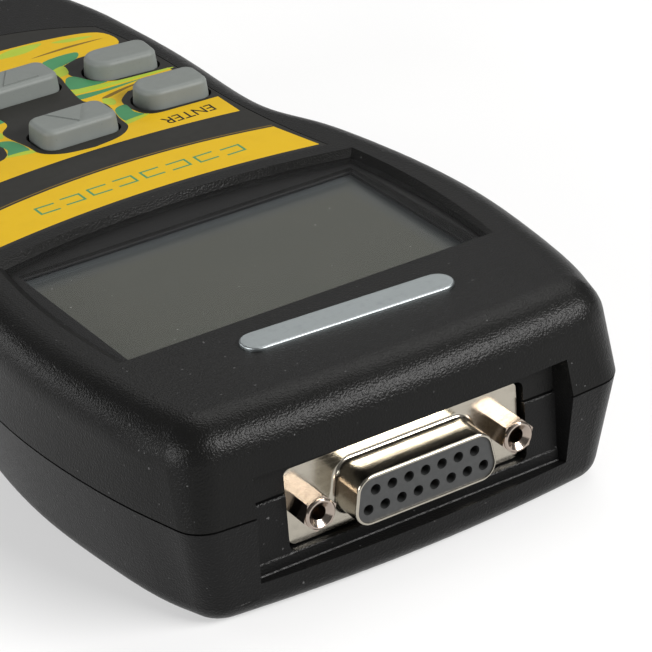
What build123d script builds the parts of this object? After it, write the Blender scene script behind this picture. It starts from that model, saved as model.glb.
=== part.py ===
"""Handheld vehicle code reader with a display, six rubber keys and a 15-way D connector.

Millimetres. +Z is up through the display, the connector end faces -Y and the handle ends at +Y.
The origin is on the resting surface, under the middle of the whole part.
"""
import os
from math import cos, radians, sin, tan

from build123d import *

os.makedirs("parts", exist_ok=True)

# ---------------------------------------------------------------- driving dimensions
LENGTH = 172.0  # connector face to the end of the handle
FRONT = -LENGTH / 2  # plane of the connector face
CASE_FRONT = FRONT + 0.7  # foremost point of the plastic case
CASE_REAR = FRONT + LENGTH
PARTING_Z = 17.6  # joint between the two shells
DECK_Z = 32.0  # flat top of the case
DECK_WALL = 2.6
WALL = 2.2
FLOOR_WALL = 2.4
SIDE_DRAFT = 4.5  # degrees, upper shell
TOP_EDGE_RADIUS = 6.3
FRONT_LEAN = 2.4  # how far the front face of the upper shell leans in at the top
SEAM_GAP = 0.35  # groove round the case at the joint
SEAM_DEPTH = 0.45
BOTTOM_EDGE_RADIUS = 4.0
LIP_HEIGHT = 1.0  # tongue of the lower shell inside the upper shell
LIP_WIDTH = 0.9

CONNECTOR_Z = 14.4  # centre line of the D connector
CONTACT_PITCH = 2.77
CONTACT_ROW_OFFSET = 1.42
JACK_SPACING = 33.32
FLANGE_WIDTH = 39.14
FLANGE_HEIGHT = 12.5
FLANGE_FRONT = FRONT + 5.9
FLANGE_THICKNESS = 0.6
JACK_FACE = FRONT + 1.27
D_WIDTH = 24.66
D_HEIGHT = 7.9

NOTCH_HALF_WIDTH = 26.8  # recess in the front of the case, round the connector, at its mouth
NOTCH_BACK_HALF_WIDTH = 25.4
NOTCH_TOP_Z = CONNECTOR_Z + 8.9
NOTCH_FLOOR_Z = CONNECTOR_Z - 8.5
PANEL_FRONT = FRONT + 5.0
PANEL_BACK = FRONT + 6.9
LOWER_PANEL_FRONT = PANEL_FRONT - 0.35  # the lower shell's half of the recess wall stands proud
RAIL_TOP_Z = CONNECTOR_Z - 6.5  # smooth rail under the connector, proud of the lower half
RAIL_PROUD = 0.2

BOARD_TOP_Z = 22.4
BOARD_THICKNESS = 1.6
BOARD_BOTTOM_Z = BOARD_TOP_Z - BOARD_THICKNESS

# right half of the window and of the recess over it: near corner, bulge of the side and far corner, then
# the distance of the middle of the far edge, all from the connector face
WINDOW = ((30.8, 28.4), (32.0, 47.0), (30.7, 66.2), 70.1)
RECESS = ((31.8, 28.1), (33.3, 46.5), (31.9, 67.6), 71.2)
WINDOW_NEAR = FRONT + WINDOW[0][1]
WINDOW_TILT = 1.0  # degrees
WINDOW_NEAR_Z = DECK_Z - 0.3
WINDOW_THICKNESS = 1.0
VIEW_HALF_WIDTH = 29.4
VIEW_NEAR = FRONT + 28.9
VIEW_FAR = FRONT + 64.8

OVERLAY_THICKNESS = 0.25
BADGE_LENGTH = 34.6
BADGE_WIDTH = 5.2
BADGE_THICKNESS = 0.55

KEY_RISE = 3.0  # key tops above the deck
KEY_TRAVEL = 1.0
KEY_GAP = 0.4
PILL_THICKNESS = 0.5
PAD_THICKNESS = 0.05
KEY_BOTTOM_Z = BOARD_TOP_Z + PAD_THICKNESS + PILL_THICKNESS + KEY_TRAVEL + 0.05
# name, centre x, distance of the centre from the connector face, turn in degrees, width, depth
KEYS = [
    ("up", 0.0, 102.6, 0.0, 14.0, 8.2),
    ("down", 0.0, 123.8, 0.0, 14.0, 8.2),
    ("enter", 19.5, 105.2, -4.0, 12.4, 8.0),
    ("menu", 18.8, 121.6, -5.0, 12.4, 7.8),
    ("exit", -19.5, 105.2, 4.0, 12.4, 8.0),
    ("help", -18.8, 121.6, 5.0, 12.4, 7.8),
]

CASE_SCREWS = [(-31.0, FRONT + 17.0), (31.0, FRONT + 17.0), (-22.5, FRONT + 157.5), (22.5, FRONT + 157.5)]
BOARD_SCREWS = [
    (-22.5, FRONT + 20.5),
    (22.5, FRONT + 20.5),
    (-31.0, FRONT + 75.5),
    (31.0, FRONT + 75.5),
    (-22.0, FRONT + 142.0),
    (22.0, FRONT + 142.0),
]
CASE_BOSS_RADIUS = 3.4
CASE_HEAD_RADIUS = 2.7
BOARD_BOSS_RADIUS = 2.6

# half width of the case at the parting line, by distance from the connector face
SIDE_POINTS = [
    (38.05, 10.6),
    (41.0, 25.5),
    (42.5, 44.0),
    (41.9, 58.0),
    (39.7, 73.5),
    (37.4, 83.0),
    (34.5, 91.0),
    (33.5, 99.0),
    (33.8, 112.0),
    (34.05, 127.0),
    (33.4, 143.0),
    (31.4, 159.0),
]
CORNER_X = 35.75  # front corner before rounding
CORNER_SETBACK = 1.4  # how far the corner lies behind the middle of the front
REAR_CORNER_X = 30.0
REAR_CORNER_SETBACK = 5.0
REAR_CORNER_RADIUS = 12.0


def save(name, part):
    part.label = name
    export_step(part, "parts/" + name + ".step")


def case_outline(height, inset, front_inset, rear_inset, setback, corner_radius):
    """Plan of the case at one height, as a sketch."""
    front = (0, CASE_FRONT + front_inset)
    corner = (CORNER_X - inset, CASE_FRONT + front_inset + setback)
    side = [(x - inset, FRONT + y) for x, y in SIDE_POINTS]
    rear = (0, CASE_REAR - rear_inset)
    rear_corner = (REAR_CORNER_X - inset, rear[1] - REAR_CORNER_SETBACK)
    entry = Vector(*side[0]) - Vector(*corner)
    leave = Vector(*rear_corner) - Vector(*side[-1])
    with BuildSketch(Plane.XY.offset(height)) as outline:
        with BuildLine():
            TangentArc(front, corner, tangent=(1, 0))
            Line(corner, side[0])
            Spline(*side, tangents=(entry.normalized(), leave.normalized()))
            Line(side[-1], rear_corner)
            TangentArc(rear, rear_corner, tangent=(1, 0))
            mirror(about=Plane.YZ)
        make_face()
        fillet(outline.vertices().filter_by(lambda v: abs(v.Y - corner[1]) < 0.01), corner_radius)
        rear_corners = outline.vertices().filter_by(lambda v: abs(v.Y - rear_corner[1]) < 0.01)
        fillet(rear_corners, REAR_CORNER_RADIUS - inset)
    return outline.sketch


def even_outline(height, inset):
    """Plan of the case near the joint, drawn in by the same amount all round."""
    return case_outline(height, inset, inset, inset, CORNER_SETBACK, 5.0 - inset / 2)


def upper_solid(inset, top_z, edge_radius):
    """Solid of the upper shell's outside (inset 0) or of its cavity."""
    lean = (DECK_Z - PARTING_Z) * tan(radians(SIDE_DRAFT))
    rise = (top_z - PARTING_Z) / (DECK_Z - PARTING_Z)
    base = even_outline(PARTING_Z, inset)
    side_inset = inset + lean * rise
    front_inset = inset + FRONT_LEAN * rise
    crown = case_outline(top_z, side_inset, front_inset, side_inset, CORNER_SETBACK, edge_radius + 1.5)
    with BuildPart() as solid:
        loft(sections=[base, crown], ruled=True)
        fillet(solid.faces().sort_by(Axis.Z)[-1].edges(), edge_radius)
    return solid.part


def lower_solid(inset, floor_z, edge_radius):
    """Solid of the lower shell's outside (inset 0) or of its cavity."""
    drop = (PARTING_Z - floor_z) / PARTING_Z
    base = even_outline(PARTING_Z, inset)
    side_inset = inset + 3.1 * drop
    end_inset = inset + 1.8 * drop
    sole = case_outline(floor_z, side_inset, end_inset, end_inset, CORNER_SETBACK + 1.0, edge_radius + 1.5)
    with BuildPart() as solid:
        loft(sections=[base, sole], ruled=True)
        fillet(solid.faces().sort_by(Axis.Z)[0].edges(), edge_radius)
    return solid.part


def board_frame(x, y, z, angle=0.0):
    """Working plane at a point, turned about Z."""
    turn = radians(angle)
    return Plane(origin=(x, y, z), x_dir=(cos(turn), sin(turn), 0), z_dir=(0, 0, 1))


def facing_plane(setback):
    """Plane parallel to the connector face, setback behind it, with +Z up and its normal to -Y."""
    return Plane(origin=(0, FRONT + setback, CONNECTOR_Z), x_dir=(1, 0, 0), z_dir=(0, -1, 0))


def recess_block(bottom_z, top_z):
    """Block that cuts the recess round the connector, narrower at the back than at its mouth."""
    mouth = FRONT - 1.0
    flare = (NOTCH_HALF_WIDTH - NOTCH_BACK_HALF_WIDTH) * (PANEL_FRONT - mouth) / (PANEL_FRONT - CASE_FRONT)
    front = NOTCH_BACK_HALF_WIDTH + flare
    back = NOTCH_BACK_HALF_WIDTH
    with BuildPart() as block:
        with BuildSketch(Plane.XY.offset(bottom_z)):
            with BuildLine():
                Polyline(
                    (-back, PANEL_FRONT),
                    (-front, mouth),
                    (front, mouth),
                    (back, PANEL_FRONT),
                    close=True,
                )
            make_face()
        extrude(amount=top_z - bottom_z)
    return block.part


def window_plane(offset=0.0):
    """Plane of the tilted window's top face."""
    turn = radians(WINDOW_TILT)
    face = Plane(origin=(0, WINDOW_NEAR, WINDOW_NEAR_Z), x_dir=(1, 0, 0), z_dir=(0, sin(turn), cos(turn)))
    return face.offset(offset)


def bowed_outline(plane, corners, grow):
    """Outline on a plane, with a straight near edge, bulging sides and a bowed far edge."""
    near, bulge, far, crown = corners
    shift = FRONT - plane.origin.Y
    near_corner = (near[0] + grow, near[1] + shift - grow)
    side = (bulge[0] + grow, bulge[1] + shift)
    far_corner = (far[0] + grow, far[1] + shift + grow)
    left_near_corner = (-near_corner[0], near_corner[1])
    left_far_corner = (-far_corner[0], far_corner[1])
    with BuildSketch(plane) as outline:
        with BuildLine():
            Line((0, near_corner[1]), near_corner)
            ThreePointArc(near_corner, side, far_corner)
            ThreePointArc(far_corner, (0, crown + shift + grow), left_far_corner)
            ThreePointArc(left_far_corner, (-side[0], side[1]), left_near_corner)
            Line(left_near_corner, (0, near_corner[1]))
        make_face()
    return outline.sketch


def overlay_outline(height, grow):
    """Outline of the printed film over the keypad."""
    near = (29.5 + grow, FRONT + 71.1 - grow)
    middle = [(27.6 + grow, FRONT + 83.0), (26.6 + grow, FRONT + 95.0), (26.5 + grow, FRONT + 114.0)]
    far = (24.4 + grow, FRONT + 141.0)
    with BuildSketch(Plane.XY.offset(height)) as outline:
        with BuildLine():
            ThreePointArc((-near[0], near[1]), (0, near[1] + 2.8), near)
            Spline(near, *middle, far)
            ThreePointArc(far, (0, FRONT + 150.0 + grow), (-far[0], far[1]))
            Spline((-far[0], far[1]), *[(-x, y) for x, y in reversed(middle)], (-near[0], near[1]))
        make_face()
    return outline.sketch


def key_outline(width, depth, side, grow):
    """Rounded key outline about the origin; a side key has a fuller end towards the keypad's middle."""
    half = width / 2 + grow
    plain = 2.2 + grow
    full = 3.6 + grow
    left, right = (full, plain) if side > 0 else (plain, full) if side < 0 else (plain, plain)
    with BuildSketch() as outline:
        Rectangle(2 * half, depth + 2 * grow)
        fillet(outline.vertices().group_by(Axis.X)[0], left)
        fillet(outline.vertices().group_by(Axis.X)[-1], right)
    return outline.sketch


def d_outline(width, height, corner_radius):
    """D connector outline about the origin, wide side down, with sides leaning 10 degrees."""
    lean = height * tan(radians(10))
    bottom = width / 2
    top = bottom - lean
    with BuildSketch() as outline:
        with BuildLine():
            Polyline(
                (-bottom, -height / 2),
                (bottom, -height / 2),
                (top, height / 2),
                (-top, height / 2),
                close=True,
            )
        make_face()
        fillet(outline.vertices(), corner_radius)
    return outline.sketch


def contact_places():
    """Eight contacts in the lower row and seven in the upper row."""
    lower = [((i - 3.5) * CONTACT_PITCH, -CONTACT_ROW_OFFSET) for i in range(8)]
    upper = [((i - 3) * CONTACT_PITCH, CONTACT_ROW_OFFSET) for i in range(7)]
    return lower + upper


CONTACT_PLACES = contact_places()
TAIL_SETBACKS = [15.2 if z < 0 else 12.7 for x, z in CONTACT_PLACES]

# ---------------------------------------------------------------- upper shell
CAVITY_TOP_Z = DECK_Z - DECK_WALL
BLOCK_HALF_WIDTH = NOTCH_HALF_WIDTH + 1.9
BLOCK_TOP_Z = NOTCH_TOP_Z + 2.0
FLANGE_GAP = 0.3

with BuildPart() as upper_cavity:
    add(upper_solid(WALL, CAVITY_TOP_Z, TOP_EDGE_RADIUS - WALL))
    with BuildSketch(Plane.XY.offset(PARTING_Z)):
        with Locations((0, CASE_FRONT)):
            Rectangle(2 * BLOCK_HALF_WIDTH, 2 * (PANEL_BACK - CASE_FRONT))
    extrude(amount=BLOCK_TOP_Z - PARTING_Z, mode=Mode.SUBTRACT)
    with BuildSketch(Plane.XY.offset(PARTING_Z)):
        with Locations(*CASE_SCREWS):
            Circle(CASE_BOSS_RADIUS)
    extrude(amount=DECK_Z - PARTING_Z, mode=Mode.SUBTRACT)
    with BuildSketch(Plane.XY.offset(BOARD_TOP_Z)):
        with Locations(*BOARD_SCREWS):
            Circle(BOARD_BOSS_RADIUS)
    extrude(amount=DECK_Z - BOARD_TOP_Z, mode=Mode.SUBTRACT)

with BuildPart() as top_shell:
    add(upper_solid(0, DECK_Z, TOP_EDGE_RADIUS))
    add(upper_cavity.part, mode=Mode.SUBTRACT)
    # recess round the connector
    add(recess_block(PARTING_Z, NOTCH_TOP_Z), mode=Mode.SUBTRACT)
    # opening in the recess wall for the connector's flange
    with BuildSketch(facing_plane(PANEL_BACK - FRONT + 0.5)):
        RectangleRounded(FLANGE_WIDTH + 4 * FLANGE_GAP, FLANGE_HEIGHT + 2 * FLANGE_GAP, 1.2)
    extrude(amount=PANEL_BACK - PANEL_FRONT + 1.0, mode=Mode.SUBTRACT)
    # groove for the lower shell's tongue
    with BuildSketch(Plane.XY.offset(PARTING_Z)):
        add(even_outline(PARTING_Z, WALL - LIP_WIDTH - 0.1))
        add(even_outline(PARTING_Z, WALL + 0.1), mode=Mode.SUBTRACT)
        with Locations((0, FRONT)):
            Rectangle(2 * BLOCK_HALF_WIDTH, 2 * (PANEL_BACK - FRONT), mode=Mode.SUBTRACT)
    extrude(amount=LIP_HEIGHT + 0.1, mode=Mode.SUBTRACT)
    # display opening, window seat and flared bevel
    with BuildSketch(Plane.XY.offset(CAVITY_TOP_Z - 1.0)):
        with Locations((0, (VIEW_NEAR + VIEW_FAR) / 2)):
            RectangleRounded(2 * VIEW_HALF_WIDTH + 0.8, VIEW_FAR - VIEW_NEAR + 0.6, 0.8)
    extrude(amount=DECK_WALL + 2.0, mode=Mode.SUBTRACT)
    seat = bowed_outline(window_plane(-WINDOW_THICKNESS), WINDOW, 0.1)
    extrude(seat, amount=WINDOW_THICKNESS, mode=Mode.SUBTRACT)
    bevel_foot = bowed_outline(window_plane(), WINDOW, 0.1)
    bevel_top = bowed_outline(Plane.XY.offset(DECK_Z), RECESS, 0.0)
    loft(sections=[bevel_foot, bevel_top], ruled=True, mode=Mode.SUBTRACT)
    # pocket for the keypad film
    extrude(overlay_outline(DECK_Z - 0.3, 0.1), amount=1.0, mode=Mode.SUBTRACT)
    # key openings
    for name, x, y, turn, width, depth in KEYS:
        with BuildSketch(board_frame(x, FRONT + y, CAVITY_TOP_Z - 1.0, turn)):
            add(key_outline(width, depth, x, KEY_GAP))
        extrude(amount=DECK_WALL + 2.0, mode=Mode.SUBTRACT)
    # pilot holes
    with BuildSketch(Plane.XY.offset(PARTING_Z)):
        with Locations(*CASE_SCREWS):
            Circle(1.28)
    extrude(amount=9.0, mode=Mode.SUBTRACT)
    with BuildSketch(Plane.XY.offset(BOARD_TOP_Z)):
        with Locations(*BOARD_SCREWS):
            Circle(1.0)
    extrude(amount=5.0, mode=Mode.SUBTRACT)

save("top_shell", top_shell.part)

# ---------------------------------------------------------------- lower shell
HEAD_SEAT_Z = 7.5
POST_RADIUS = 4.5
LABEL_SIZE = (44.0, 26.0)
LABEL_Y = 12.0
LABEL_POCKET = 0.35

with BuildPart() as lower_cavity:
    add(lower_solid(WALL, FLOOR_WALL, BOTTOM_EDGE_RADIUS - 1.5))
    with BuildSketch():
        with Locations((0, CASE_FRONT)):
            Rectangle(2 * BLOCK_HALF_WIDTH, 2 * (PANEL_BACK - CASE_FRONT))
    extrude(amount=PARTING_Z, mode=Mode.SUBTRACT)
    with BuildSketch():
        with Locations(*CASE_SCREWS):
            Circle(POST_RADIUS)
    extrude(amount=PARTING_Z, mode=Mode.SUBTRACT)

with BuildPart() as bottom_shell:
    add(lower_solid(0, 0, BOTTOM_EDGE_RADIUS))
    add(lower_cavity.part, mode=Mode.SUBTRACT)
    # tongue
    with BuildSketch(Plane.XY.offset(PARTING_Z)):
        add(even_outline(PARTING_Z, WALL - LIP_WIDTH))
        add(even_outline(PARTING_Z, WALL), mode=Mode.SUBTRACT)
        with Locations((0, FRONT)):
            Rectangle(2 * BLOCK_HALF_WIDTH + 0.4, 2 * (PANEL_BACK - FRONT) + 0.4, mode=Mode.SUBTRACT)
    extrude(amount=LIP_HEIGHT)
    # recess round the connector, with the proud lower half of its wall and a smooth rail at the foot
    add(recess_block(NOTCH_FLOOR_Z, PARTING_Z), mode=Mode.SUBTRACT)
    wall_top = PARTING_Z - SEAM_GAP
    rail_front = LOWER_PANEL_FRONT - RAIL_PROUD
    with BuildSketch(Plane.YZ):
        with BuildLine():
            Polyline(
                (PANEL_FRONT + 0.5, wall_top),
                (LOWER_PANEL_FRONT + 0.2, wall_top),
                (LOWER_PANEL_FRONT, wall_top - 0.2),
                (LOWER_PANEL_FRONT, RAIL_TOP_Z),
                (rail_front, RAIL_TOP_Z - RAIL_PROUD),
                (rail_front, NOTCH_FLOOR_Z + 0.2),
                (rail_front - 0.2, NOTCH_FLOOR_Z - 0.1),
                (PANEL_FRONT + 0.5, NOTCH_FLOOR_Z - 0.1),
                close=True,
            )
        make_face()
    extrude(amount=NOTCH_BACK_HALF_WIDTH + 0.6, both=True)
    # groove at the joint, round the outside and along the recess
    with BuildSketch(Plane.XY.offset(PARTING_Z - SEAM_GAP)):
        Rectangle(2 * LENGTH, 2 * LENGTH)
        add(even_outline(PARTING_Z - SEAM_GAP, SEAM_DEPTH), mode=Mode.SUBTRACT)
        with Locations((0, CASE_FRONT)):
            Rectangle(2 * NOTCH_BACK_HALF_WIDTH, 2 * (PANEL_FRONT + SEAM_DEPTH - CASE_FRONT))
    extrude(amount=SEAM_GAP, mode=Mode.SUBTRACT)
    with BuildSketch(facing_plane(PANEL_BACK - FRONT + 0.5)):
        RectangleRounded(FLANGE_WIDTH + 4 * FLANGE_GAP, FLANGE_HEIGHT + 2 * FLANGE_GAP, 1.2)
    extrude(amount=PANEL_BACK - PANEL_FRONT + 1.0, mode=Mode.SUBTRACT)
    # screw holes with deep counterbores, and the label's pocket
    with BuildSketch():
        with Locations(*CASE_SCREWS):
            Circle(CASE_HEAD_RADIUS + 0.35)
    extrude(amount=HEAD_SEAT_Z, mode=Mode.SUBTRACT)
    with BuildSketch():
        with Locations(*CASE_SCREWS):
            Circle(1.6)
    extrude(amount=PARTING_Z + 1.0, mode=Mode.SUBTRACT)
    with BuildSketch():
        with Locations((0, LABEL_Y)):
            RectangleRounded(LABEL_SIZE[0] + 0.4, LABEL_SIZE[1] + 0.4, 1.7)
    extrude(amount=LABEL_POCKET, mode=Mode.SUBTRACT)

save("bottom_shell", bottom_shell.part)

with BuildPart() as rear_label:
    with BuildSketch(Plane.XY.offset(LABEL_POCKET - 0.2)):
        with Locations((0, LABEL_Y)):
            RectangleRounded(*LABEL_SIZE, 1.5)
    extrude(amount=0.2)

save("rear_label", rear_label.part)

# ---------------------------------------------------------------- display
BEZEL_TOP_Z = CAVITY_TOP_Z - 0.4
BEZEL_SHEET = 0.3
BEZEL_HALF_WIDTH = 33.0
BEZEL_NEAR = FRONT + 25.8
BEZEL_FAR = FRONT + 69.2
BEZEL_MIDDLE = (BEZEL_NEAR + BEZEL_FAR) / 2
VIEW_MIDDLE = (VIEW_NEAR + VIEW_FAR) / 2
GLASS_TOP_Z = BEZEL_TOP_Z - BEZEL_SHEET
GLASS_THICKNESS = 2.2
GLASS_BOTTOM_Z = GLASS_TOP_Z - GLASS_THICKNESS
TAB_X = BEZEL_HALF_WIDTH - 0.2
TAB_PLACES = [(x, BEZEL_MIDDLE + y) for x in (-TAB_X, TAB_X) for y in (-14, 14)]

with BuildPart() as display_window:
    extrude(bowed_outline(window_plane(), WINDOW, 0.0), amount=-WINDOW_THICKNESS)

save("display_window", display_window.part)

with BuildPart() as display_gasket:
    with BuildSketch(Plane.XY.offset(BEZEL_TOP_Z)):
        with Locations((0, VIEW_MIDDLE)):
            Rectangle(2 * VIEW_HALF_WIDTH + 6.0, VIEW_FAR - VIEW_NEAR + 5.0)
            Rectangle(2 * VIEW_HALF_WIDTH + 1.2, VIEW_FAR - VIEW_NEAR + 1.0, mode=Mode.SUBTRACT)
    extrude(amount=CAVITY_TOP_Z - BEZEL_TOP_Z)

save("display_gasket", display_gasket.part)

with BuildPart() as display_bezel:
    with BuildSketch(Plane.XY.offset(BOARD_TOP_Z)):
        with Locations((0, BEZEL_MIDDLE)):
            Rectangle(2 * BEZEL_HALF_WIDTH, BEZEL_FAR - BEZEL_NEAR)
            inner_depth = BEZEL_FAR - BEZEL_NEAR - 2 * BEZEL_SHEET
            Rectangle(2 * (BEZEL_HALF_WIDTH - BEZEL_SHEET), inner_depth, mode=Mode.SUBTRACT)
    extrude(amount=BEZEL_TOP_Z - BOARD_TOP_Z)
    with BuildSketch(Plane.XY.offset(GLASS_TOP_Z)):
        with Locations((0, BEZEL_MIDDLE)):
            Rectangle(2 * BEZEL_HALF_WIDTH, BEZEL_FAR - BEZEL_NEAR)
        with Locations((0, VIEW_MIDDLE)):
            Rectangle(2 * VIEW_HALF_WIDTH + 0.8, VIEW_FAR - VIEW_NEAR + 0.6, mode=Mode.SUBTRACT)
    extrude(amount=BEZEL_SHEET)
    # tabs that pass through the board
    with BuildSketch(Plane.XY.offset(BOARD_TOP_Z)):
        with Locations(*TAB_PLACES):
            Rectangle(BEZEL_SHEET, 2.4)
    extrude(amount=-BOARD_THICKNESS - 0.9)

save("display_bezel", display_bezel.part)

with BuildPart() as display_glass:
    with BuildSketch(Plane.XY.offset(GLASS_BOTTOM_Z)):
        with Locations((0, BEZEL_MIDDLE)):
            Rectangle(2 * (BEZEL_HALF_WIDTH - 0.6), BEZEL_FAR - BEZEL_NEAR - 1.2)
    extrude(amount=GLASS_THICKNESS)

save("display_glass", display_glass.part)

STRIP_WIDTH = 1.8
STRIP_PLACES = [(0, BEZEL_NEAR + 0.8 + STRIP_WIDTH / 2), (0, BEZEL_FAR - 0.8 - STRIP_WIDTH / 2)]

with BuildPart() as display_strips:
    with BuildSketch(Plane.XY.offset(BOARD_TOP_Z)):
        with Locations(*STRIP_PLACES):
            Rectangle(58.0, STRIP_WIDTH)
    extrude(amount=GLASS_BOTTOM_Z - BOARD_TOP_Z)

save("display_strips", display_strips.part)

with BuildPart() as display_backlight:
    with BuildSketch(Plane.XY.offset(BOARD_TOP_Z)):
        with Locations((0, BEZEL_MIDDLE)):
            Rectangle(2 * BEZEL_HALF_WIDTH - 1.4, BEZEL_FAR - BEZEL_NEAR - 2 * (0.8 + STRIP_WIDTH) - 0.6)
    extrude(amount=GLASS_BOTTOM_Z - BOARD_TOP_Z)

save("display_backlight", display_backlight.part)

# ---------------------------------------------------------------- main board
with BuildPart() as main_board:
    with BuildSketch(Plane.XY.offset(BOARD_BOTTOM_Z)):
        with BuildLine():
            Polyline(
                (0, FRONT + 7.7),
                (27.3, FRONT + 7.7),
                (27.3, FRONT + 24.0),
                (34.6, FRONT + 24.0),
                (34.6, FRONT + 78.5),
                (28.0, FRONT + 86.0),
                (28.0, FRONT + 150.0),
                (0, FRONT + 150.0),
            )
            mirror(about=Plane.YZ)
        make_face()
        with Locations(*BOARD_SCREWS):
            Circle(1.35, mode=Mode.SUBTRACT)
        for (x, z), setback in zip(CONTACT_PLACES, TAIL_SETBACKS):
            with Locations((x, FRONT + setback)):
                Circle(0.45, mode=Mode.SUBTRACT)
        with Locations(*TAB_PLACES):
            Rectangle(BEZEL_SHEET + 0.4, 2.8, mode=Mode.SUBTRACT)
        with Locations((-JACK_SPACING / 2, FRONT + 11.0), (JACK_SPACING / 2, FRONT + 11.0)):
            Circle(1.4, mode=Mode.SUBTRACT)
    extrude(amount=BOARD_THICKNESS)

save("main_board", main_board.part)

with BuildPart() as key_pads:
    with BuildSketch(Plane.XY.offset(BOARD_TOP_Z)):
        with Locations(*[(x, FRONT + y) for name, x, y, turn, width, depth in KEYS]):
            Circle(3.2)
            Rectangle(0.5, 7.0, mode=Mode.SUBTRACT)
    extrude(amount=PAD_THICKNESS)

save("key_pads", key_pads.part)


def chip(width, depth, thickness, leads, pitch, reach, sides):
    """Moulded chip hanging under the board, centred on the origin, with its leads."""
    with BuildPart() as body:
        with BuildSketch(Plane.XY.offset(-0.1)):
            Rectangle(width, depth)
        extrude(amount=-thickness)
        chamfer(body.edges().group_by(Axis.Z)[0], 0.15)
        span = (leads - 1) * pitch
        for i in range(leads):
            with BuildSketch():
                with Locations((i * pitch - span / 2, 0)):
                    Rectangle(0.25, depth + 2 * reach)
                if sides == 4:
                    with Locations((0, i * pitch - span / 2)):
                        Rectangle(width + 2 * reach, 0.25)
            extrude(amount=-0.3)
    return body.part


with BuildPart() as microcontroller:
    with Locations((2.0, FRONT + 58.0, BOARD_BOTTOM_Z)):
        add(chip(9.0, 9.0, 1.4, 12, 0.65, 0.9, 4))

save("microcontroller", microcontroller.part)

INTERFACE_PLACES = [(-14.0, FRONT + 30.0, BOARD_BOTTOM_Z), (0.0, FRONT + 30.0, BOARD_BOTTOM_Z)]

with BuildPart() as interface_chips:
    with Locations(*INTERFACE_PLACES):
        add(chip(4.9, 3.9, 1.5, 4, 1.27, 1.05, 2))

save("interface_chips", interface_chips.part)

with BuildPart() as memory_chip:
    with Locations((-16.0, FRONT + 58.0, BOARD_BOTTOM_Z)):
        add(chip(5.3, 5.3, 1.8, 4, 1.27, 1.3, 2))

save("memory_chip", memory_chip.part)

with BuildPart() as voltage_regulator:
    with BuildSketch(Plane.XY.offset(BOARD_BOTTOM_Z)):
        with Locations((16.0, FRONT + 31.0)):
            Rectangle(6.5, 6.0)
    extrude(amount=-2.3)
    with BuildSketch(Plane.XY.offset(BOARD_BOTTOM_Z)):
        with Locations((16.0, FRONT + 34.6)):
            Rectangle(5.3, 2.4)
        with Locations((13.7, FRONT + 26.8), (18.3, FRONT + 26.8)):
            Rectangle(0.8, 3.0)
    extrude(amount=-0.5)

save("voltage_regulator", voltage_regulator.part)

with BuildPart() as crystal:
    with BuildSketch(Plane.XY.offset(BOARD_BOTTOM_Z)):
        with Locations((3.0, FRONT + 70.0)):
            SlotOverall(11.4, 4.7)
    extrude(amount=-0.5)
    with BuildSketch(Plane.XY.offset(BOARD_BOTTOM_Z - 0.5)):
        with Locations((3.0, FRONT + 70.0)):
            SlotOverall(10.4, 3.8)
    extrude(amount=-3.0)
    fillet(crystal.edges().group_by(Axis.Z)[0], 0.4)

save("crystal", crystal.part)

CAPACITOR_PLACES = [(-27.0, FRONT + 36.0), (-27.0, FRONT + 45.0), (27.0, FRONT + 38.0)]

with BuildPart() as capacitors:
    with BuildSketch(Plane.XY.offset(BOARD_BOTTOM_Z)):
        with Locations(*CAPACITOR_PLACES):
            Circle(3.15)
    extrude(amount=-7.2)
    fillet(capacitors.edges().group_by(Axis.Z)[0], 0.4)

save("capacitors", capacitors.part)

with BuildPart() as chip_parts:
    with BuildSketch(Plane.XY.offset(BOARD_BOTTOM_Z)):
        with Locations((0, FRONT + 41.0)):
            with GridLocations(5.0, 3.4, 7, 2):
                Rectangle(2.0, 1.25)
        with Locations((18.0, FRONT + 60.0)):
            with GridLocations(4.0, 4.0, 2, 4):
                Rectangle(2.0, 1.25)
        with Locations((0, FRONT + 108.0)):
            with GridLocations(6.0, 12.0, 4, 2):
                Rectangle(2.0, 1.25)
    extrude(amount=-0.7)

save("chip_parts", chip_parts.part)

# ---------------------------------------------------------------- keypad
MAT_THICKNESS = 1.0
COLLAR_HEIGHT = 1.4
MAT_FRONT = FRONT + 94.5
MAT_REAR = FRONT + 132.0
COLUMN_TRIM = 1.0  # the key's hidden column is this much smaller all round
FLANGE_GROW = 0.75
KEY_FLANGE_TOP_Z = CAVITY_TOP_Z - 0.3
KEY_FLANGE_BOTTOM_Z = KEY_FLANGE_TOP_Z - 1.1

with BuildPart() as keypad_mat:
    with BuildSketch(Plane.XY.offset(BOARD_TOP_Z)):
        with Locations((0, (MAT_FRONT + MAT_REAR) / 2)):
            RectangleRounded(54.0, MAT_REAR - MAT_FRONT, 3.0)
    extrude(amount=MAT_THICKNESS)
    for name, x, y, turn, width, depth in KEYS:
        with BuildSketch(board_frame(x, FRONT + y, BOARD_TOP_Z, turn)):
            add(key_outline(width, depth, x, 0.7))
        extrude(amount=MAT_THICKNESS + COLLAR_HEIGHT)
    for name, x, y, turn, width, depth in KEYS:
        with BuildSketch(board_frame(x, FRONT + y, BOARD_TOP_Z, turn)):
            add(key_outline(width, depth, x, -COLUMN_TRIM + 0.6))
        extrude(amount=MAT_THICKNESS + COLLAR_HEIGHT, mode=Mode.SUBTRACT)

save("keypad_mat", keypad_mat.part)

KEY_TOP_Z = DECK_Z + KEY_RISE
CAP_INSET = 0.25  # the cap narrows this much to its top
ARROW_RISE = 0.2
ARROW_HALF_LENGTH = 2.8
ARROW_HALF_WIDTH = 3.3

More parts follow.
